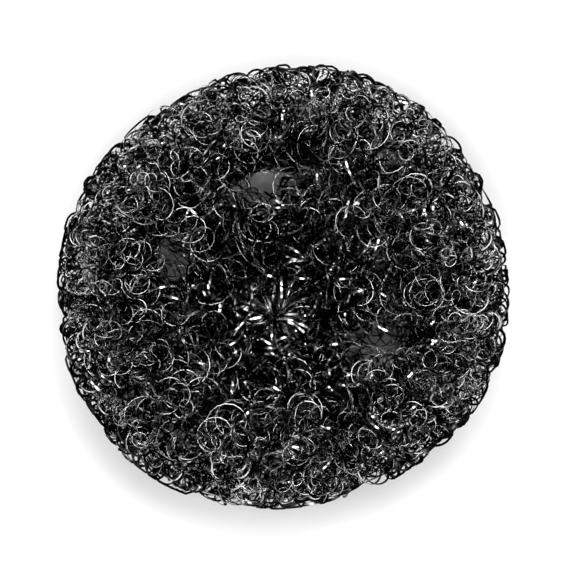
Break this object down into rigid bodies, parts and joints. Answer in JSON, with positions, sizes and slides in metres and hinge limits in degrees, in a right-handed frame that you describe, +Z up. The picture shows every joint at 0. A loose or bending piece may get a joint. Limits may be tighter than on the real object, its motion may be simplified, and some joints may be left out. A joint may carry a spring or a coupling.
{
  "type": "stainless steel scourer",
  "caption": "Round bun-shaped scouring pad of coiled flat steel ribbon, wound over a thick ring and drawn together in a gathered centre.",
  "frame": {"origin": "middle of the outline, on the table under the pad", "axes": "+Z up through the pad's thickness, +Y towards the top of the picture, the gather off the middle towards -Y"},
  "size_m": [0.0888, 0.09, 0.0295],
  "materials": {
    "stainless_steel": "bright rolled ribbon, glossy on the flats"
  },
  "bodies": {
    "root": {"coiled_ribbon": "stainless_steel"}
  },
  "joints": []
}
